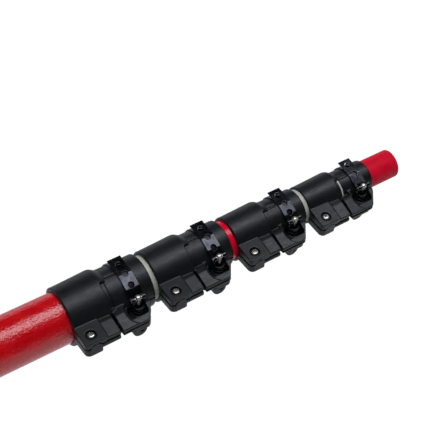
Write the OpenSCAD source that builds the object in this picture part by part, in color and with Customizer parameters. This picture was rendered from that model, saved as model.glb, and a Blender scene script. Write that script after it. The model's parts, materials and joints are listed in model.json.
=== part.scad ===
// Five-section telescopic boom pole, nearly collapsed, with four lever
// clamps. The pole axis is X, the centre of the butt end face is the origin,
// the clamp lugs stand out towards -Y and +Z is up. All sizes in millimetres.

/* [Tubes] */
// Outside diameter of the base tube
base_od = 50; // [48:1:52]
// Drop in diameter from each tube to the next
od_step = 5; // [5:0.5:5.5]
// Wall thickness of every tube
tube_wall = 2; // [1.9:0.05:2.1]
// Length of the base tube
base_len = 804; // [700:1:900]
// How far the overlap of two tubes reaches at full extension
overlap = 170; // [120:10:220]
// Tip tube showing beyond the last clamp
tip_show = 36.3; // [32:0.1:60]

/* [Clamps] */
// Distance from the rear rim of the first clamp to the next one
pitch_1 = 89.7; // [88:0.1:95]
// Distance from the second clamp to the third
pitch_2 = 90.1; // [88:0.1:95]
// Distance from the third clamp to the fourth
pitch_3 = 87.9; // [87:0.1:95]
// Roll of the third clamp about the pole
roll_3 = 3; // [0:1:8]
// Roll of the fourth clamp about the pole
roll_4 = 7; // [0:1:12]
// Outside radius of the first clamp's rear sleeve
sleeve_r_1 = 28.7; // [28:0.1:29.5]
// Outside radius of the first clamp's front ring
ring_r_1 = 26.4; // [26:0.1:27]
// Drop in clamp radius from each clamp to the next
clamp_step = 3; // [2.8:0.1:3]

/* [Strap and lever] */
// Width of the perforated strap
strap_w = 14; // [12:0.5:15]
// Thickness of the strap
strap_t = 1.1; // [0.8:0.1:1.3]
// Diameter of the strap's holes
strap_hole = 6; // [4.5:0.5:6.5]
// Pitch of the strap's holes
hole_pitch = 12; // [10:0.5:13]
// Radius of the lever's cam
cam_r = 7.5; // [7:0.1:7.8]
// Offset of the cam from its pin
cam_e = 1.9; // [1.8:0.1:2.4]

/* [Hidden] */
$fn = 96;
eps = 0.01;

// tube radii, index 0 is the base tube
tr = [for (k = [0:4]) base_od/2 - k*od_step/2];
// rear rims of the clamps
butt_x = 4;
cx = [butt_x + base_len - 44,
      butt_x + base_len - 44 + pitch_1,
      butt_x + base_len - 44 + pitch_1 + pitch_2,
      butt_x + base_len - 44 + pitch_1 + pitch_2 + pitch_3];
clen = [84.6, 83.6, 83, 82.3];
roll = [0, 0, roll_3, roll_4];
// each tube's two ends: the tube is seated 44 mm deep in its own clamp
t0 = [butt_x, 20, 26, 32, 38];
t1 = [cx[0]+44, cx[1]+44, cx[2]+44, cx[3]+44, cx[3]+clen[3]+tip_show];
// clamp radii
sr = [for (k = [0:3]) sleeve_r_1 - k*clamp_step];
rr = [for (k = [0:3]) ring_r_1 - k*clamp_step];
run = 0.1;               // running clearance of a tube in its clamp
sx = 64.1;               // strap, bolt and lever pin stand at this distance from the rear rim
bolt_t = [for (k = [0:3]) rr[k] + 3.2];   // bolt's distance from the pole axis
pin_z = 13;              // cross pin above the split plane
lp_z = -24.5;            // lever pin below the split plane
screw_x = 10;
seat_z = 5.6;             // screw head's seat
boss_z = -15.4;           // underside of the deep boss
hook_a = [for (k = [0:3]) 206 + 2.7*k];   // where the anchor strap hooks in
screw_t = [for (k = [0:3]) rr[k] + 13.1];
guide_x = 6;             // guide groove from the tube's rear end
guide_w = 14;

module along_x(x) { translate([x, 0, 0]) rotate([0, 90, 0]) children(); }
// puts a clamp's own frame in place
module at_clamp(k) { translate([cx[k], 0, 0]) rotate([roll[k], 0, 0]) children(); }
// a plate in the clamp's frame: outline in (x, t), t towards the lug side
module plate(z0, z1) { translate([0, 0, z0]) linear_extrude(z1 - z0) mirror([0, 1, 0]) children(); }
// an outline in (y, z) drawn out along x
module drawn_x(x0, x1) { translate([x0, 0, 0]) rotate([90, 0, 90]) linear_extrude(x1 - x0) children(); }
// an outline in (x, z) drawn out from t0 to t1 on the lug side
module drawn_t(a, b) { translate([0, -a, 0]) rotate([90, 0, 0]) linear_extrude(b - a) children(); }
// sketch space: (y, z) in the plane, x upwards
module sk() { rotate([90, 0, 90]) children(); }
// a section in (t, z) drawn out along x
module lug_x(x0, x1) { drawn_x(x0, x1) mirror([1, 0]) children(); }
module wedge(a0, a1, R) { polygon(concat([[0, 0]], [for (i = [0:24]) R * [cos(a0 + (a1 - a0)*i/24), sin(a0 + (a1 - a0)*i/24)]])); }
module arc(r0, r1, a0, a1) { difference() { intersection() { circle(r1); wedge(a0, a1, r1*1.4); } circle(r0); } }
module rrect(x0, y0, x1, y1, r) {
  union() {
    translate([x0 + r, y0]) square([x1 - x0 - 2*r, y1 - y0]);
    translate([x0, y0 + r]) square([x1 - x0, y1 - y0 - 2*r]);
    for (x = [x0 + r, x1 - r], y = [y0 + r, y1 - r]) translate([x, y]) circle(r, $fn = 48);
  }
}

// ---------------------------------------------------------------- tubes
module tube(k) {
  color(k % 2 == 0 ? "crimson" : "honeydew")
  difference() {
    along_x(t0[k]) cylinder(r = tr[k], h = t1[k] - t0[k]);
    along_x(t0[k] - 1) cylinder(r = tr[k] - tube_wall, h = t1[k] - t0[k] + 2);
    if (k > 0) along_x(t0[k] + guide_x) difference() {
      cylinder(r = tr[k] + 1, h = guide_w);
      translate([0, 0, -1]) cylinder(r = tr[k] - 0.7, h = guide_w + 2);
    }
  }
}
// threaded end plug bonded flush into the tip tube's mouth
module tip_insert() {
  color("silver") difference() {
    along_x(t1[4] - 25) rotate_extrude() polygon([[4, 0], [tr[4] - tube_wall, 0], [tr[4] - tube_wall, 25], [4, 25]]);
  }
}
// wear ring that sits in the groove and slides in the next tube out
module guide_ring(k) {
  color("gainsboro")
  difference() {
    along_x(t0[k] + guide_x + 0.1) cylinder(r = tr[k-1] - tube_wall - 0.05, h = guide_w - 0.2);
    along_x(t0[k]) cylinder(r = tr[k] - 0.7 + 0.05, h = guide_w + 20);
    translate([t0[k] + guide_x - 1, -40, -0.6]) cube([guide_w + 2, 40, 1.2]);
  }
}
module butt_cap() {
  color("dimgray") along_x(0) rotate_extrude() polygon(concat(
    [[0, 0], [24.5, 0], [26.2, 0.5], [27.3, 1.6], [27.8, 3.2], [27.8, 8]],
    // moulded grip grooves
    [for (i = [0:3]) each [[27.8, 9 + 5*i], [27.2, 9.4 + 5*i], [27.2, 10.6 + 5*i], [27.8, 11 + 5*i]]],
    [[27.8, 30], [27.4, 32.2], [26.6, 33.6], [tr[0], 34], [tr[0], butt_x], [0, butt_x]]));
}
module butt_bumper() {
  color("black") along_x(butt_x) difference() {
    cylinder(r = tr[0] - tube_wall, h = 9);
    translate([0, 0, -1]) cylinder(r = 5, h = 12);
  }
}

// ---------------------------------------------------------------- clamp body
// outer profile of the moulding as [radius, x]
function sleeve_profile(k) = [
  [0, 0], [sr[k] - 1.1, 0], [sr[k] - 0.4, 0.3], [sr[k] + 0.05, 1], [sr[k] + 0.1, 1.8], [sr[k], 3],
  [sr[k] + 0.4, 18], [sr[k] + 1.1, 38], [sr[k] + 1, 39.6], [sr[k] + 0.5, 41.2], [sr[k] - 0.6, 43],
  [rr[k] + 0.35, 45.2], [rr[k] + 0.15, 47], [rr[k], 49], [rr[k], clen[k] - 1.2],
  [rr[k] - 0.3, clen[k] - 0.4], [rr[k] - 1, clen[k]], [0, clen[k]]];
module clamp_body(k) {
  a = tr[k]; b = tr[k + 1]; s = sr[k]; r = rr[k]; q = rr[k] - ring_r_1;
  color("#26282c") at_clamp(k)
  difference() {
    union() {
      along_x(0) rotate_extrude() polygon(sleeve_profile(k));
      // rear lugs: raised pad with the screw, then the lower pad, both
      // falling away towards their outer edge
      intersection() {
        plate(0, 12) union() { translate([0, 18 + q]) square([22.6, 27.3]); translate([3, 18 + q]) square([16.6, 30.3]);
                  translate([3, 45.3 + q]) circle(3, $fn = 48); translate([19.6, 45.3 + q]) circle(3, $fn = 48); }
        lug_x(-1, 30) polygon([[17 + q, -1], [17 + q, 10.6], [24 + q, 10.6], [28 + q, 10.1], [60 + q, 5.2], [60 + q, -1]]);
      }
      intersection() {
        plate(0, 12) union() { translate([12, 18 + q]) square([23.4, 28.3]); translate([12, 18 + q]) square([21.9, 29.8]);
                  translate([33.9, 46.3 + q]) circle(1.5, $fn = 32); }
        lug_x(10, 40) polygon([[17 + q, -1], [17 + q, 8.9], [33 + q, 8.9], [60 + q, 1.7], [60 + q, -1]]);
      }
      plate(-8.9, 0) union() { translate([0, 18 + q]) square([17, 25.6]); translate([5, 18 + q]) square([10, 30.6]);
                  translate([5, 43.6 + q]) circle(5, $fn = 64); translate([15, 43.6 + q]) square([2, 3]); translate([15, 46.6 + q]) circle(2, $fn = 32); }
      plate(-4.2, 0) union() { translate([5, 18 + q]) square([30.4, 29.1]); translate([5, 18 + q]) square([28.9, 30.6]);
                  translate([33.9, 47.1 + q]) circle(1.5, $fn = 32); }
      // front lugs: sloping upper plate, thin lower plate and the deep boss
      intersection() {
        plate(0, 12) polygon([[37.6, 18 + q], [37.6, 48.6 + q], [63.3, 48.6 + q], [65.4, 47.6 + q], [73.6, 35.6 + q], [74.6, 33 + q], [74.6, 18 + q]]);
        lug_x(36, 80) polygon([[17 + q, -1], [17 + q, 9.6], [34 + q, 9.4], [60 + q, -0.6], [60 + q, -1]]);
      }
      plate(-2.7, 0) polygon([[37.6, 18 + q], [37.6, 48.6 + q], [63.3, 48.6 + q], [65.4, 47.6 + q], [73.6, 35.6 + q], [74.6, 33 + q], [74.6, 18 + q]]);
      plate(boss_z, -1.5) polygon([[50, 12 + q], [50, 39 + q], [53, 42 + q], [67, 42 + q], [69.6, 40.4 + q], [73.3, 34.9 + q], [74.2, 32 + q], [74.2, 12 + q]]);
      // bearing boss for the strap's bolt
      translate([sx, -bolt_t[k], 0]) cylinder(r = 5.6, h = 4.2);
      // stiffening ribs on the neck
      for (w = [81, 89.5]) rotate([90 - w, 0, 0]) translate([42.2, -0.85, r - 2]) cube([13.2, 1.7, 2.65]);
    }
    // bores
    along_x(-1) cylinder(r = a, h = 45);
    along_x(40) cylinder(r = b + run, h = 60);
    // split plane through both lug pairs
    translate([-1, -70, -0.8]) cube([100, 70 - 5, 1.6]);
    // gap between the rear and the front lugs
    translate([35.4, -70, -30]) cube([2.2, 70 - (s + 0.6), 60]);
    // relief groove between the sleeve and the front ring
    intersection() {
      union() {
        along_x(38.6) difference() { cylinder(r = s + 3, h = 4.3); translate([0, 0, -1]) cylinder(r = a + 0.7, h = 7); }
        along_x(42.2) difference() { cylinder(r = s + 3, h = 6.3); translate([0, 0, -1]) cylinder(r = r + 0.08, h = 9); }
        // bevelled rim of the sleeve
        along_x(37.5) difference() { cylinder(r = s + 4, h = 1.4); translate([0, 0, -0.1]) cylinder(r1 = s + 1.4, r2 = s - 0.1, h = 1.6); }
      }
      drawn_x(30, 56) wedge(180 - 77, 180 - 21, 60);
    }
    // stepped recess round the bolt: a shallow ledge that runs out to the
    // lug's edge, a middle step and the deep pocket
    difference() {
      union() {
        intersection() {
          plate(-2, 13) union() { translate([61.5, 36 + q]) circle(14.2, $fn = 128);
            polygon([[61.5, 10 + q], [61.5, 60 + q], [80, 60 + q], [80, 10 + q]]); }
          lug_x(40, 82) polygon([[8, 8.4], [34 + q, 8.4], [60 + q, -1.6], [62 + q, 14], [8, 14]]);
        }
        plate(4.4, 13) intersection() {
          translate([61.5, 36 + q]) circle(14.2, $fn = 128);
          polygon([[44, 10 + q], [44, 42.4 + q], [66.6, 42.4 + q], [68.8, 39.6 + q], [68.8, 10 + q]]);
        }
        plate(-4.6, 13) intersection() {
          translate([62.5, 35.5 + q]) circle(11.8, $fn = 128);
          polygon([[44, 10 + q], [44, 42.4 + q], [66.6, 42.4 + q], [68.8, 39.6 + q], [68.8, 10 + q]]);
        }
      }
      translate([sx, -bolt_t[k], -10]) cylinder(r = 5.6, h = 14.2);
      along_x(40) cylinder(r = r, h = 50);
    }
    translate([sx, -bolt_t[k], -40]) cylinder(r = 3, h = 60);
    // concave cut over the nut boss
    drawn_t(s + 1.6, 70) translate([10.4, -3.2]) intersection() { circle(7.4, $fn = 64); translate([-10, 3.2]) square([20, 10]); }
    // clamp screw: head recess and clearance hole
    translate([screw_x, -screw_t[k], seat_z]) cylinder(r = 4.85, h = 10);
    translate([screw_x, -screw_t[k], -20]) cylinder(r = 2.75, h = 40);
    // nut pocket
    translate([screw_x, -screw_t[k], -9]) cylinder(r = 4.7, h = 4.6, $fn = 6);
    // slot that the anchor strap enters, and the pocket for its hooked end
    sk() {
      translate([0, 0, sx - strap_w/2 - 0.4]) linear_extrude(strap_w + 0.8) arc(r, r + strap_t + 0.5, hook_a[k] - 1.5, 300);
      rotate([0, 0, hook_a[k]]) translate([r, -1.1, sx - strap_w/2 - 0.4]) cube([strap_t + 2, 2.2, strap_w + 0.8]);
    }
  }
  // nut boss that rises into the upper lug
  color("#26282c") at_clamp(k)
  difference() {
    drawn_t(s + 2.2, 48.6 + q) intersection() { translate([10.4, -3.2]) circle(6.5, $fn = 64);
      translate([0, -1.5]) square([30, 20]); }
    translate([screw_x, -screw_t[k], -20]) cylinder(r = 2.75, h = 40);
  }
}

// ---------------------------------------------------------------- clamp fittings
module clamp_screw(k) {
  color("silver") at_clamp(k) translate([screw_x, -screw_t[k], 0]) difference() {
    union() {
      translate([0, 0, -7.2]) cylinder(r = 2.5, h = seat_z + 7.3);
      translate([0, 0, seat_z]) rotate_extrude() polygon([[0, 0], [3.9, 0], [3.9, 1.2], [3.7, 1.9], [3.2, 2.5], [2.5, 2.9], [1.6, 3.1], [0, 3.1]]);
    }
    translate([0, 0, seat_z + 1.1]) cylinder(r = 1.75, h = 4, $fn = 6);
  }
}
module clamp_nut(k) {
  color("silver") at_clamp(k) translate([screw_x, -screw_t[k], -7.9]) difference() {
    cylinder(r = 4.6, h = 3.5, $fn = 6);
    translate([0, 0, -1]) cylinder(r = 2.55, h = 6);
  }
}
// The strap is three flat runs with a bend between them. Each run faces the
// angle below (round the pole from the lug side) and lies off the axis.
strap_up = 84;                     // free end
run_1 = [61.5, 62, 63, 64.5];      // over the ring
run_2 = [38, 44, 51, 59];          // down to the cross pin
bend_r = 2;
sri = [for (k = [0:3]) rr[k] + 0.3];
run_2_h = [for (k = [0:3]) bolt_t[k]*cos(run_2[k]) + pin_z*sin(run_2[k]) - 2.1 - strap_t];
strap_l = [for (k = [0:3]) bolt_t[k]*sin(run_2[k]) - pin_z*cos(run_2[k])];
// how far out on the free end the hooked hole sits
hook_y = [for (k = [0:3]) hole_pitch - sri[k]*tan((strap_up - run_1[k])/2)];
// a point of the strap's section: at angle th round the pole from the lug
// side, rho from the axis and s further down along the strap
function at_strap(th, rho, s) = [-rho*cos(th) - s*sin(th), rho*sin(th) - s*cos(th)];
// centre of the bend between runs that face a and b and lie ha and hb off the axis
function bend_c(a, ha, b, hb) = [(hb*sin(a) - ha*sin(b)) / sin(b - a), (hb*cos(a) - ha*cos(b)) / sin(b - a)];
function bend(a, ha, b, hb, off) = let (c = bend_c(a, ha - bend_r, b, hb - bend_r))
  [for (i = [0:5]) let (f = a + (b - a)*i/5) c + (bend_r + off)*[-cos(f), sin(f)]];
// one face of the strap from its free end over both bends and round the pin
function strap_face(k, off, rp) = concat(
  [at_strap(strap_up, sri[k] + off, -15.6)],
  bend(strap_up, sri[k], run_1[k], sri[k], off),
  bend(run_1[k], sri[k], run_2[k], run_2_h[k], off),
  [for (i = [0:24]) let (b = 180 - 242*i/24) at_strap(run_2[k], run_2_h[k] + 2.1 + strap_t + rp*cos(b), strap_l[k] + rp*sin(b))]);
function reversed(v) = [for (i = [len(v) - 1:-1:0]) v[i]];
module clamp_strap(k) {
  ri = sri[k]; t = strap_t; x0 = sx - strap_w/2;
  color("slategray") at_clamp(k) sk() difference() {
    translate([0, 0, x0]) linear_extrude(strap_w)
      polygon(concat(strap_face(k, t, 2.1), reversed(strap_face(k, 0, 2.1 + t))));
    // holes
    rotate([0, 0, 180 - strap_up]) translate([ri - 2, -hook_y[k], sx]) rotate([0, 90, 0]) cylinder(d = strap_hole, h = 8);
    rotate([0, 0, 180 - (strap_up + run_1[k])/2]) translate([ri - 2, 0, sx]) rotate([0, 90, 0]) cylinder(d = strap_hole, h = 8);
    if (k < 3) rotate([0, 0, 180 - run_1[k]]) translate([ri - 2, hook_y[k] + (k < 2 ? -0.3 : -2), sx]) rotate([0, 90, 0]) cylinder(d = strap_hole, h = 8);
    // fork
    rotate([0, 0, 180 - run_2[k]]) translate([run_2_h[k] - 3, strap_l[k] - (k < 2 ? 5.2 : 4.4), sx - 3.6]) cube([14, 14, 7.2]);
  }
}
module clamp_anchor_strap(k) {
  r = rr[k] + 0.05; t = strap_t; x0 = sx - strap_w/2;
  te = strap_up + acos(sri[k]/(r + t + 0.4)) + 1;
  tt = strap_up + acos(sri[k]/(r + t/2 + 0.35)) + 0.6;   // thinned tongue under the free end
  color("slategray") at_clamp(k) sk() union() {
    translate([0, 0, x0]) linear_extrude(strap_w) union() {
      arc(r, r + t, hook_a[k] - 360, 0.1);
      arc(r, r + t, 0, 180 - te);
      arc(r, r + t/2, 0, 180 - tt);
      rotate(hook_a[k]) translate([r, -t/2]) square([t + 1.4, t]);
    }
    // hook peg that stands in one of the strap's holes
    difference() {
      rotate([0, 0, 180 - strap_up]) translate([r - 8, -hook_y[k], sx]) rotate([0, 90, 0]) cylinder(r = 2, h = sri[k] + t + 1.5 - r + 8);
      translate([0, 0, x0]) cylinder(r = r, h = strap_w);
    }
  }
}
module clamp_cross_pin(k) {
  color("silver") at_clamp(k) translate([0, -bolt_t[k], pin_z]) union() {
    along_x(sx - strap_w/2 - 0.5) cylinder(r = 2, h = strap_w + 1);
  }
}
module clamp_tension_bolt(k) {
  color("silver") at_clamp(k) translate([sx, -bolt_t[k], 0]) difference() {
    union() {
      translate([0, 0, lp_z + 1]) cylinder(r = 2.5, h = pin_z - lp_z - 3);
      translate([0, 0, pin_z - 3.6]) rotate_extrude() polygon([[0, 0], [2.4, 0], [2.9, 0.6], [2.9, 5], [2.75, 5.7], [2.3, 6.4], [1.6, 6.85], [0.8, 7.1], [0, 7.15]]);
      translate([0, 2.3, lp_z]) rotate([90, 0, 0]) cylinder(r = 4.2, h = 4.6);
    }
    translate([-6, 0, pin_z]) rotate([0, 90, 0]) cylinder(r = 2.05, h = 12);
    translate([0, 6, lp_z]) rotate([90, 0, 0]) cylinder(r = 2.08, h = 12);
  }
}
module clamp_saddle(k) {
  color("gray") at_clamp(k) difference() {
    plate(boss_z - 1.1, boss_z) translate([sx - 7.8, bolt_t[k] - 5]) union() {
      translate([1, 0]) square([13.6, 10]); translate([0, 1]) square([15.6, 8]);
      for (x = [1, 14.6], y = [1, 9]) translate([x, y]) circle(1, $fn = 32);
    }
    translate([sx, -bolt_t[k], -30]) cylinder(r = 3, h = 30);
  }
}
module clamp_lever(k) {
  b = bolt_t[k]; hx = sx - cam_e;
  color("#202226") at_clamp(k) difference() {
    union() {
      drawn_t(b - 4.2, b + 4.2) union() {
        translate([hx, lp_z]) circle(cam_r);
        polygon([[hx, lp_z + 7.1], [56, -17.2], [52.5, -15.95], [49.9, -15.9], [46.8, -14.9], [46.8, -18.2], [51, -19.3], [hx - 7.4, lp_z + 1.4], [hx, lp_z]]);
      }
      drawn_t(b - 0.6, b + 4.2) polygon([[51, -16], [49, -15.6], [46, -13.2], [43, -11.5], [40, -11],
        [37, -11], [37, -14.6], [40, -15.4], [43, -16.4], [46, -17.9], [50.5, -19.2]]);
      drawn_t(b - 0.6, b + 8) polygon([[40.5, -11.1], [37, -10.95], [30, -10.9], [12, -10.9], [6, -11.4], [4.2, -12.2], [3.8, -13.2],
        [4.6, -14.2], [7, -14.8], [12, -14.6], [30, -14.5], [37, -14.7], [40, -15.5]]);
    }
    // room for the bolt's eye
    translate([sx - 4.9, -b - 2.5, -60]) cube([30, 5, 60]);
    translate([sx, -b + 8, lp_z]) rotate([90, 0, 0]) cylinder(r = 2, h = 16);
    // recessed pin seat on the outer face
    translate([sx, -b - 3.4, lp_z]) rotate([90, 0, 0]) cylinder(r = 2.7, h = 3);
  }
}
module clamp_lever_pin(k) {
  color("silver") at_clamp(k) translate([sx, -bolt_t[k] + 4, lp_z]) rotate([90, 0, 0]) cylinder(r = 2, h = 7.5);
}

butt_cap();
butt_bumper();
tip_insert();
tube(0);  // tube_1
tube(1);  // tube_2
tube(2);  // tube_3
tube(3);  // tube_4
tube(4);  // tube_5
guide_ring(1);  // guide_ring_2
guide_ring(2);  // guide_ring_3
guide_ring(3);  // guide_ring_4
guide_ring(4);  // guide_ring_5
clamp_body(0);  // clamp_1_body
clamp_body(1);  // clamp_2_body
clamp_body(2);  // clamp_3_body
clamp_body(3);  // clamp_4_body
clamp_screw(0);  // clamp_1_screw
clamp_screw(1);  // clamp_2_screw
clamp_screw(2);  // clamp_3_screw
clamp_screw(3);  // clamp_4_screw
clamp_nut(0);  // clamp_1_nut
clamp_nut(1);  // clamp_2_nut
clamp_nut(2);  // clamp_3_nut
clamp_nut(3);  // clamp_4_nut
clamp_strap(0);  // clamp_1_strap
clamp_strap(1);  // clamp_2_strap
clamp_strap(2);  // clamp_3_strap
clamp_strap(3);  // clamp_4_strap
clamp_anchor_strap(0);  // clamp_1_anchor_strap
clamp_anchor_strap(1);  // clamp_2_anchor_strap
clamp_anchor_strap(2);  // clamp_3_anchor_strap
clamp_anchor_strap(3);  // clamp_4_anchor_strap
clamp_cross_pin(0);  // clamp_1_cross_pin
clamp_cross_pin(1);  // clamp_2_cross_pin
clamp_cross_pin(2);  // clamp_3_cross_pin
clamp_cross_pin(3);  // clamp_4_cross_pin
clamp_tension_bolt(0);  // clamp_1_tension_bolt
clamp_tension_bolt(1);  // clamp_2_tension_bolt
clamp_tension_bolt(2);  // clamp_3_tension_bolt
clamp_tension_bolt(3);  // clamp_4_tension_bolt
clamp_saddle(0);  // clamp_1_saddle
clamp_saddle(1);  // clamp_2_saddle
clamp_saddle(2);  // clamp_3_saddle
clamp_saddle(3);  // clamp_4_saddle
clamp_lever(0);  // clamp_1_lever
clamp_lever(1);  // clamp_2_lever
clamp_lever(2);  // clamp_3_lever
clamp_lever(3);  // clamp_4_lever
clamp_lever_pin(0);  // clamp_1_lever_pin
clamp_lever_pin(1);  // clamp_2_lever_pin
clamp_lever_pin(2);  // clamp_3_lever_pin
clamp_lever_pin(3);  // clamp_4_lever_pin
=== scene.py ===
import json
import math

import bpy
import bmesh
import numpy as np
from mathutils import Matrix, Vector


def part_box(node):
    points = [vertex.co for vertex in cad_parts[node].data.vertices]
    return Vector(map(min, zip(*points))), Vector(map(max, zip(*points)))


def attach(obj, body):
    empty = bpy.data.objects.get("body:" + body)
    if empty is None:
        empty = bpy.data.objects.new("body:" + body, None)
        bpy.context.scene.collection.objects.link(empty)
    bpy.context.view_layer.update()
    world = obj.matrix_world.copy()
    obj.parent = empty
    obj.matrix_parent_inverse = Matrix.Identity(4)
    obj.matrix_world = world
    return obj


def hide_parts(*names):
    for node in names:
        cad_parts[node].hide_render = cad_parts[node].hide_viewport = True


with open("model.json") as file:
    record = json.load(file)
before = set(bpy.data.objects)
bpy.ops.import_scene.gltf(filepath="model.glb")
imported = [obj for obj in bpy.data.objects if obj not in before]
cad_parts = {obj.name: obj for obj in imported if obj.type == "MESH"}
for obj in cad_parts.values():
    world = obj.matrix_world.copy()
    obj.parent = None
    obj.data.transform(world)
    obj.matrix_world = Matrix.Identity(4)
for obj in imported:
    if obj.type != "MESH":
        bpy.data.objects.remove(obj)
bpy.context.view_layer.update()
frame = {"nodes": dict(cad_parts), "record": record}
NODES = frame["nodes"]
BODY_OF = {n: b for b, ns in frame["record"]["behaviour"]["bodies"].items() for n in ns}
SLOT_OF = {s["node"]: s["material_slot"] for s in frame["record"]["subparts"]}
scene = bpy.context.scene
coll = scene.collection

# ------------------------------------------------------------------ camera
lo1, hi1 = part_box("clamp_1_body")
cam_data = bpy.data.cameras.new("cam")
cam_data.lens = 86.52
cam_data.sensor_width = 36.0
cam_data.clip_start = 0.05
cam_data.clip_end = 50
cam = bpy.data.objects.new("cam", cam_data)
fwd = Vector((0.40988, 0.60738, -0.68051)).normalized()
right = Vector((0.82891, -0.55938, 0.0)).normalized()
up = right.cross(fwd)
m = Matrix.Identity(4)
for i in range(3):
    m[i][0], m[i][1], m[i][2] = right[i], up[i], -fwd[i]
m.translation = Vector((lo1.x - 0.23697, -0.60732, 0.71029))
cam.matrix_world = m
coll.objects.link(cam)
scene.camera = cam


# ------------------------------------------------------------------ materials
def new_mat(name):
    mt = bpy.data.materials.new(name)
    mt.use_nodes = True
    nt = mt.node_tree
    b = nt.nodes["Principled BSDF"]
    return mt, nt, b


def node(nt, kind, **kw):
    n = nt.nodes.new(kind)
    for k, v in kw.items():
        if k.startswith("in_"):
            n.inputs[k[3:].replace("_", " ")].default_value = v
        else:
            setattr(n, k, v)
    return n


def coords(nt, scale):
    tc = node(nt, "ShaderNodeTexCoord")
    mp = node(nt, "ShaderNodeMapping")
    mp.inputs["Scale"].default_value = scale
    nt.links.new(tc.outputs["Object"], mp.inputs["Vector"])
    return mp.outputs["Vector"]


def noise(nt, scale, nscale=1.0, detail=4.0, rough=0.55, dist=0.0):
    n = node(nt, "ShaderNodeTexNoise")
    n.inputs["Scale"].default_value = nscale
    n.inputs["Detail"].default_value = detail
    n.inputs["Roughness"].default_value = rough
    n.inputs["Distortion"].default_value = dist
    nt.links.new(coords(nt, scale), n.inputs["Vector"])
    return n.outputs["Fac"]


def ramp(nt, fac, stops):
    r = node(nt, "ShaderNodeValToRGB")
    cr = r.color_ramp
    while len(cr.elements) < len(stops):
        cr.elements.new(0.5)
    for e, (p, c) in zip(cr.elements, stops):
        e.position = p
        e.color = (c[0], c[1], c[2], 1) if len(c) == 3 else c
    nt.links.new(fac, r.inputs["Fac"])
    return r.outputs["Color"]


def grey(nt, fac, a, b, p0=0.3, p1=0.7):
    mr = node(nt, "ShaderNodeMapRange")
    mr.inputs["From Min"].default_value = p0
    mr.inputs["From Max"].default_value = p1
    mr.inputs["To Min"].default_value = a
    mr.inputs["To Max"].default_value = b
    nt.links.new(fac, mr.inputs["Value"])
    return mr.outputs["Result"]


def mix(nt, fac, a, b, mode="MIX"):
    mx = node(nt, "ShaderNodeMix", data_type="RGBA", blend_type=mode)
    for sock, v in ((0, fac), (6, a), (7, b)):
        if hasattr(v, "links"):
            nt.links.new(v, mx.inputs[sock])
        elif sock == 0:
            mx.inputs[0].default_value = v
        else:
            mx.inputs[sock].default_value = (v[0], v[1], v[2], 1)
    return mx.outputs[2]


def bump(nt, height, strength, dist, prev=None):
    bp = node(nt, "ShaderNodeBump")
    bp.inputs["Strength"].default_value = strength
    bp.inputs["Distance"].default_value = dist
    nt.links.new(height, bp.inputs["Height"])
    if prev is not None:
        nt.links.new(prev, bp.inputs["Normal"])
    return bp.outputs["Normal"]


def fibreglass(name, base, dark, light, rough, coat, streak=0.35, mottle=0.35, spec=0.5, relief=1.0):
    """Pultruded tube: long axial fibres, a fine cross scrim, mottled resin."""
    mt, nt, b = new_mat(name)
    L = nt.links.new
    fibres = noise(nt, (14, 900, 900), 1.0, 3, 0.6)
    strand = noise(nt, (40, 260, 260), 1.0, 4, 0.65, 0.4)
    blotch = noise(nt, (90, 130, 130), 1.0, 5, 0.62)
    scrim = noise(nt, (620, 420, 420), 1.0, 2, 0.5)
    c = mix(nt, grey(nt, strand, 0.0, streak, 0.35, 0.7), base, light)
    c = mix(nt, grey(nt, blotch, mottle, 0.0, 0.36, 0.62), c, dark)
    c = mix(nt, grey(nt, fibres, 0.0, 0.18, 0.45, 0.75), c, light)
    L(c, b.inputs["Base Color"])
    L(grey(nt, blotch, rough - 0.07, rough + 0.1), b.inputs["Roughness"])
    b.inputs["Specular IOR Level"].default_value = spec
    b.inputs["Coat Weight"].default_value = coat
    b.inputs["Coat Roughness"].default_value = 0.16
    n = bump(nt, scrim, min(1.0, 0.25 * relief), 0.0002 * relief)
    n = bump(nt, fibres, 0.25, 0.00012, n)
    n = bump(nt, strand, 0.3, 0.0003 * relief, n)
    L(n, b.inputs["Normal"])
    return mt


def moulded(name, base, rough, spec=0.5):
    """Satin moulded nylon: fine spark-eroded grain, faint flow marks and a painted highlight that lightens the
    convex edges.
    """
    mt, nt, b = new_mat(name)
    L = nt.links.new
    grain = noise(nt, (2600, 2600, 2600), 1.0, 2, 0.6)
    cloud = noise(nt, (45, 45, 45), 1.0, 5, 0.6)
    flow = noise(nt, (120, 380, 380), 1.0, 4, 0.6, 0.6)
    hi = tuple(v * 1.6 for v in base)
    c = mix(nt, grey(nt, cloud, 0.0, 0.8, 0.35, 0.7), base, hi)
    # painted highlight: convex edges, found by pointiness, are mixed to a lighter colour
    geo = node(nt, "ShaderNodeNewGeometry")
    edge_highlight = grey(nt, geo.outputs["Pointiness"], 0.0, 0.55, 0.53, 0.6)
    c = mix(nt, edge_highlight, c, tuple(v * 2.5 + 0.004 for v in base))
    L(c, b.inputs["Base Color"])
    L(grey(nt, flow, rough - 0.07, rough + 0.08), b.inputs["Roughness"])
    b.inputs["Specular IOR Level"].default_value = spec
    peel = noise(nt, (700, 700, 700), 1.0, 3, 0.6)
    n = bump(nt, grain, 0.4, 0.00008)
    n = bump(nt, peel, 0.18, 0.00012, n)
    n = bump(nt, flow, 0.2, 0.0002, n)
    L(n, b.inputs["Normal"])
    return mt


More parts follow.
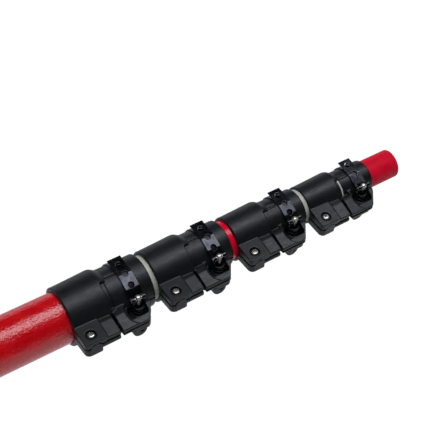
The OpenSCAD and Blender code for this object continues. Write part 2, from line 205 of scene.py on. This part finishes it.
def metal(name, base, rough, stretch, aniso=0.0, dirt=0.3, shade_below=None):
    """Rolled or turned metal: fine lines along the work, faint staining.
    The last argument is a height, in metres, below which the colour is painted near black as shade."""
    mt, nt, b = new_mat(name)
    L = nt.links.new
    lines = noise(nt, stretch, 1.0, 3, 0.6)
    stain = noise(nt, (160, 160, 160), 1.0, 5, 0.62)
    dk = tuple(v * (1 - dirt) for v in base)
    c = mix(nt, grey(nt, stain, 0.0, 1.0, 0.4, 0.75), base, dk)
    c = mix(nt, grey(nt, lines, 0.0, 0.3, 0.4, 0.7), c, dk)
    # painted shade: below the given height the colour is mixed to near black
    if shade_below is not None:
        sep = node(nt, "ShaderNodeSeparateXYZ")
        L(coords(nt, (1, 1, 1)), sep.inputs[0])
        c = mix(nt, grey(nt, sep.outputs["Z"], 1.0, 0.0, shade_below - 0.001, shade_below + 0.001), c, (0.03, 0.03, 0.03))
    L(c, b.inputs["Base Color"])
    b.inputs["Metallic"].default_value = 1.0
    b.inputs["Anisotropic"].default_value = aniso
    L(grey(nt, stain, rough - 0.06, rough + 0.12), b.inputs["Roughness"])
    L(bump(nt, lines, 0.25, 0.00006), b.inputs["Normal"])
    return mt


MATS = {
    "red_fibreglass_gloss": fibreglass("red_fibreglass_gloss", (0.58, 0.0010, 0.0050), (0.38, 0.0005, 0.003), (0.72, 0.004, 0.014), 0.20, 0.0, 0.35, 0.45, spec=0.6, relief=3.0),
    "pale_fibreglass": fibreglass("pale_fibreglass", (0.40, 0.42, 0.35), (0.32, 0.34, 0.27), (0.50, 0.52, 0.45), 0.34, 0.0, 0.3, 0.25, spec=0.3),
    "red_fibreglass": fibreglass("red_fibreglass", (0.68, 0.0010, 0.020), (0.50, 0.0006, 0.012), (0.80, 0.004, 0.038), 0.26, 0.0, spec=0.28),
    "red_fibreglass_matt": fibreglass("red_fibreglass_matt", (0.60, 0.0008, 0.020), (0.38, 0.0005, 0.010), (0.72, 0.003, 0.035), 0.55, 0.0, 0.3, 0.5, spec=0.1),
    "black_nylon": moulded("black_nylon", (0.0026, 0.0034, 0.0046), 0.43, 0.3),
    "black_rubber": moulded("black_rubber", (0.010, 0.010, 0.011), 0.62, 0.35),
    "white_nylon": moulded("white_nylon", (0.62, 0.62, 0.58), 0.45),
    "strap_steel": metal("strap_steel", (0.046, 0.049, 0.056), 0.22, (2500, 160, 160), 0.2, 0.3),
    "bright_steel": metal("bright_steel", (0.50, 0.47, 0.45), 0.34, (900, 900, 900), 0.0, 0.35),
    "insert_alloy": metal("insert_alloy", (0.62, 0.63, 0.65), 0.28, (2600, 300, 300), 0.3, 0.2),
}


# ------------------------------------------------------------------ mesh tools
def link(me, name):
    o = bpy.data.objects.new(name, me)
    coll.objects.link(o)
    return o


def apply_mods(o):
    dg = bpy.context.evaluated_depsgraph_get()
    ev = o.evaluated_get(dg)
    me = bpy.data.meshes.new_from_object(ev, depsgraph=dg)
    old = o.data
    o.modifiers.clear()
    o.data = me
    if old.users == 0:
        bpy.data.meshes.remove(old)
    return o


# painted shade: the bolt colour goes near black below 7.8 mm, leaving only the head light
BOLT = metal("bolt_steel", (0.60, 0.58, 0.55), 0.36, (900, 900, 900), 0.0, 0.35, 0.0078)


def finish_piece(o, nodename, smooth=True):
    o.data.materials.clear()
    o.data.materials.append(BOLT if nodename.endswith("tension_bolt") else MATS[SLOT_OF[nodename]])
    if smooth:
        o.data.polygons.foreach_set("use_smooth", [True] * len(o.data.polygons))
    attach(o, BODY_OF[nodename])
    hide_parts(nodename)
    return o


def soft_copy(nodename, voxel, iters=4, factor=0.5, name=None):
    """The CAD solid with its edges rounded as a moulding's are."""
    src = NODES[nodename]
    me = src.data.copy()
    o = link(me, name or ("look_" + nodename))
    w = o.modifiers.new("weld", "WELD")
    w.merge_threshold = 1e-6
    r = o.modifiers.new("remesh", "REMESH")
    r.mode = "VOXEL"
    r.voxel_size = voxel
    r.adaptivity = 0.0
    if iters:
        s = o.modifiers.new("smooth", "SMOOTH")
        s.factor = factor
        s.iterations = iters
    apply_mods(o)
    return finish_piece(o, nodename)


def lathe(name, prof, seg=160, closed=True):
    """Revolves (x, r) points round the pole axis. closed joins the last point to the first."""
    n = len(prof)
    vs, fs = [], []
    for x, r in prof:
        for j in range(seg):
            a = 2 * math.pi * j / seg
            vs.append((x, r * math.cos(a), r * math.sin(a)))
    rows = n if closed else n - 1
    for i in range(rows):
        i2 = (i + 1) % n
        for j in range(seg):
            j2 = (j + 1) % seg
            fs.append((i * seg + j, i * seg + j2, i2 * seg + j2, i2 * seg + j))
    me = bpy.data.meshes.new(name)
    me.from_pydata(vs, [], fs)
    bm = bmesh.new()
    bm.from_mesh(me)
    bmesh.ops.recalc_face_normals(bm, faces=bm.faces)
    bm.to_mesh(me)
    bm.free()
    return link(me, name)


def rounded(prof, r, steps=3):
    """Rounds each corner of a closed (x, r) outline by r."""
    out = []
    n = len(prof)
    for i in range(n):
        p0, p, p1 = Vector(prof[i - 1]), Vector(prof[i]), Vector(prof[(i + 1) % n])
        a, b = p0 - p, p1 - p
        la, lb = a.length, b.length
        if la < 1e-9 or lb < 1e-9:
            continue
        k = min(r, la * 0.45, lb * 0.45)
        A, B = p + a * (k / la), p + b * (k / lb)
        for s in range(steps + 1):
            t = s / steps
            q = A * (1 - t) ** 2 + p * 2 * t * (1 - t) + B * t * t
            out.append((q.x, q.y))
    return out


# ------------------------------------------------------------------ tubes
MM = 0.001
for k in range(5):
    nm = "tube_%d" % (k + 1)
    lo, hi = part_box(nm)
    R = hi.z
    ri = R - 2 * MM
    x0, x1 = lo.x, hi.x
    outer = []
    if k > 0:
        g0, g1, gr = x0 + 6 * MM, x0 + 20 * MM, R - 0.7 * MM
        outer = [(x0, R), (g0, R), (g0, gr), (g1, gr), (g1, R)]
    else:
        outer = [(x0, R)]
    prof = outer + [(x1, R), (x1, ri), (x0, ri)]
    prof = rounded(prof, 0.25 * MM, 2)
    full = []
    for i, p in enumerate(prof):
        q = prof[(i + 1) % len(prof)]
        full.append(p)
        d = abs(q[0] - p[0])
        if d > 0.05:
            cuts = int(d / 0.04)
            for c in range(1, cuts):
                full.append((p[0] + (q[0] - p[0]) * c / cuts, p[1] + (q[1] - p[1]) * c / cuts))
    o = lathe("look_" + nm, full, 192)
    finish_piece(o, nm)

# ------------------------------------------------------------------ clamps
for k in range(1, 5):
    soft_copy("clamp_%d_body" % k, 0.5 * MM, 4)
    soft_copy("clamp_%d_lever" % k, 0.4 * MM, 4)
    soft_copy("clamp_%d_strap" % k, 0.22 * MM, 6)
    soft_copy("clamp_%d_anchor_strap" % k, 0.34 * MM, 4)
    soft_copy("clamp_%d_screw" % k, 0.16 * MM, 3)
    soft_copy("clamp_%d_cross_pin" % k, 0.2 * MM, 3)
    soft_copy("clamp_%d_tension_bolt" % k, 0.25 * MM, 3)
    soft_copy("clamp_%d_nut" % k, 0.16 * MM, 3)
    soft_copy("clamp_%d_saddle" % k, 0.2 * MM, 4)
    soft_copy("clamp_%d_lever_pin" % k, 0.15 * MM, 3)
for k in range(2, 6):
    soft_copy("guide_ring_%d" % k, 0.45 * MM, 2)

for nm in NODES:
    o = NODES[nm]
    if not o.data.materials or o.data.materials[0] is None or o.data.materials[0].name not in MATS:
        o.data.materials.clear()
        o.data.materials.append(MATS[SLOT_OF[nm]])
        o.data.polygons.foreach_set("material_index", [0] * len(o.data.polygons))

# ------------------------------------------------------------------ stage
fl = bpy.data.meshes.new("floor")
KEY, KEYX, KEYY, AMB, WALL, GLOW = 5.8, 1.45, -0.2, 0.026, 1.1, 0.36
s = 14.0
fl.from_pydata([(-s, -s, 0), (s, -s, 0), (s, s, 0), (-s, s, 0)], [], [(0, 1, 2, 3)])
floor = link(fl, "floor")
floor.location = (0.5, 0, -0.62)
mt, nt, b = new_mat("floor_white")
c = mix(nt, grey(nt, noise(nt, (3, 3, 3), 1.0, 3, 0.5), 0.0, 1.0), (0.93, 0.93, 0.93), (0.96, 0.96, 0.96))
nt.links.new(c, b.inputs["Base Color"])
b.inputs["Roughness"].default_value = 0.9
b.inputs["Specular IOR Level"].default_value = 0.1
b.inputs["Emission Color"].default_value = (1, 1, 1, 1)
b.inputs["Emission Strength"].default_value = GLOW
# the camera sees the floor as an evenly lit white sweep
em = node(nt, "ShaderNodeEmission")
em.inputs["Strength"].default_value = 1.03
lp = node(nt, "ShaderNodeLightPath")
mxs = node(nt, "ShaderNodeMixShader")
nt.links.new(lp.outputs["Is Camera Ray"], mxs.inputs[0])
nt.links.new(b.outputs[0], mxs.inputs[1])
nt.links.new(em.outputs[0], mxs.inputs[2])
nt.links.new(mxs.outputs[0], nt.nodes["Material Output"].inputs["Surface"])
floor.data.materials.append(mt)

world = bpy.data.worlds.new("world")
scene.world = world
world.use_nodes = True
wt = world.node_tree
bg = wt.nodes["Background"]
wtc = wt.nodes.new("ShaderNodeTexCoord")
wsx = wt.nodes.new("ShaderNodeSeparateXYZ")
wt.links.new(wtc.outputs["Generated"], wsx.inputs[0])


def wstep(sock, a, b, lo, hi):
    mr = wt.nodes.new("ShaderNodeMapRange")
    mr.interpolation_type = "SMOOTHSTEP"
    mr.inputs["From Min"].default_value = a
    mr.inputs["From Max"].default_value = b
    mr.inputs["To Min"].default_value = lo
    mr.inputs["To Max"].default_value = hi
    wt.links.new(sock, mr.inputs["Value"])
    return mr.outputs["Result"]


def wmath(op, a, b):
    mn = wt.nodes.new("ShaderNodeMath")
    mn.operation = op
    for i, v in enumerate((a, b)):
        if hasattr(v, "links"):
            wt.links.new(v, mn.inputs[i])
        else:
            mn.inputs[i].default_value = v
    return mn.outputs[0]


# a white backdrop low down behind the pole, a dim ceiling, and a dark side where the camera stands
back_wall = wmath("MULTIPLY", wstep(wsx.outputs["Y"], 0.25, 0.75, 0.0, 1.0), wstep(wsx.outputs["Z"], 0.1, 0.42, 1.0, 0.0))
bg.inputs["Color"].default_value = (0.93, 0.965, 1.06, 1)
wlp = wt.nodes.new("ShaderNodeLightPath")
env = wmath("ADD", wmath("MULTIPLY", back_wall, WALL), AMB)
wt.links.new(wmath("MAXIMUM", env, wmath("MULTIPLY", wlp.outputs["Is Camera Ray"], 1.14)), bg.inputs["Strength"])


def area(name, loc, target, size, radiance, size_y=None, color=(1, 1, 1)):
    d = bpy.data.lights.new(name, "AREA")
    sy = size_y or size
    d.energy = radiance * math.pi * size * sy
    d.color = color
    d.shape = "RECTANGLE"
    d.size = size
    d.size_y = sy
    o = bpy.data.objects.new(name, d)
    o.location = loc
    o.rotation_euler = (Vector(target) - Vector(loc)).to_track_quat("-Z", "Y").to_euler()
    coll.objects.link(o)
    return o


key = area("key", (KEYX, KEYY, 1.64), (KEYX, KEYY, 0.0), 2.6, KEY, 0.76, (0.965, 0.98, 1.05))
key.rotation_euler = (0.0, 0.0, 0.0)

scene.view_settings.view_transform = "Standard"
scene.view_settings.look = "None"
scene.view_settings.exposure = 0.0
